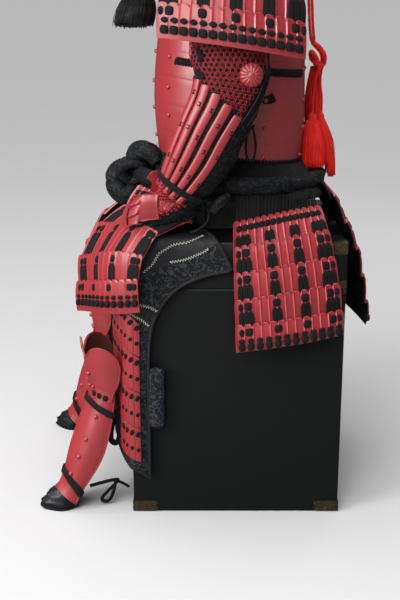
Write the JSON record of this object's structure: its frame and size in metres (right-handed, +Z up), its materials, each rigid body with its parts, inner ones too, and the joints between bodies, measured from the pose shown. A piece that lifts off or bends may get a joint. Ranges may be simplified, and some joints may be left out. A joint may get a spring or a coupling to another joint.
{
  "type": "samurai armour on storage box",
  "caption": "Full suit of laced scale armour with helmet, sleeves, skirt, thigh and shin guards, seated on a plain stand over its square storage box.",
  "frame": {"origin": "centre of the storage box's underside", "axes": "+Z up, -Y the front of the suit, +X the wearer's left"},
  "size_m": [0.671, 0.7231, 1.3821],
  "materials": {
    "red_lacquer": "satin lacquer over iron and leather",
    "black_lacing": "braided silk lace",
    "black_brocade": "woven brocade",
    "red_silk": "twisted silk cord and tassel",
    "black_box_lacquer": "satin black lacquer over wood",
    "stand_wood": "dull grey-green paint",
    "black_horsehair": "hanging horsehair",
    "black_helmet_lacquer": "satin black lacquer over iron"
  },
  "bodies": {
    "root": {"back_cord": "red_silk", "back_knot": "red_silk", "back_tassel": "red_silk", "box_lid": "black_box_lacquer", "chin_fringe": "black_horsehair", "chin_guard": "red_lacquer", "cuirass_back": "red_lacquer", "cuirass_front": "red_lacquer", "elbow_disc_L": "red_lacquer", "elbow_disc_R": "red_lacquer", "foot_cover_L": "black_brocade", "foot_cover_R": "black_brocade", "forearm_splint_L_1": "red_lacquer", "forearm_splint_L_2": "red_lacquer", "forearm_splint_L_3": "red_lacquer", "forearm_splint_L_4": "red_lacquer", "forearm_splint_L_5": "red_lacquer", "forearm_splint_R_1": "red_lacquer", "forearm_splint_R_2": "red_lacquer", "forearm_splint_R_3": "red_lacquer", "forearm_splint_R_4": "red_lacquer", "forearm_splint_R_5": "red_lacquer", "hand_guard_L": "red_lacquer", "hand_guard_R": "red_lacquer", "helmet_bowl": "black_helmet_lacquer", "helmet_visor": "black_helmet_lacquer", "knee_plate_L": "red_lacquer", "knee_plate_R": "red_lacquer", "lacing_curtain": "black_lacing", "neck_guard": "red_lacquer", "sash_band": "black_brocade", "sash_bow_lower": "black_brocade", "sash_bow_upper": "black_brocade", "sash_end": "black_brocade", "sash_knot": "black_brocade", "shin_plate_L": "red_lacquer", "shin_plate_R": "red_lacquer", "shoulder_guard_L": "red_lacquer", "shoulder_guard_R": "red_lacquer", "shoulder_strap_L": "red_lacquer", "shoulder_strap_R": "red_lacquer", "skirt_panel_back_L": "red_lacquer", "skirt_panel_back_R": "red_lacquer", "skirt_panel_front": "red_lacquer", "skirt_panel_side_L": "red_lacquer", "skirt_panel_side_R": "red_lacquer", "skirt_panel_thigh_L": "red_lacquer", "skirt_panel_thigh_R": "red_lacquer", "sleeve_inner_L": "black_brocade", "sleeve_inner_R": "black_brocade", "sleeve_outer_L": "black_brocade", "sleeve_outer_R": "black_brocade", "stand_block": "stand_wood", "stand_frame": "stand_wood", "storage_box": "black_box_lacquer", "thigh_cloth_L": "black_brocade", "thigh_cloth_R": "black_brocade", "thigh_plates_L": "red_lacquer", "thigh_plates_R": "red_lacquer"}
  },
  "joints": []
}
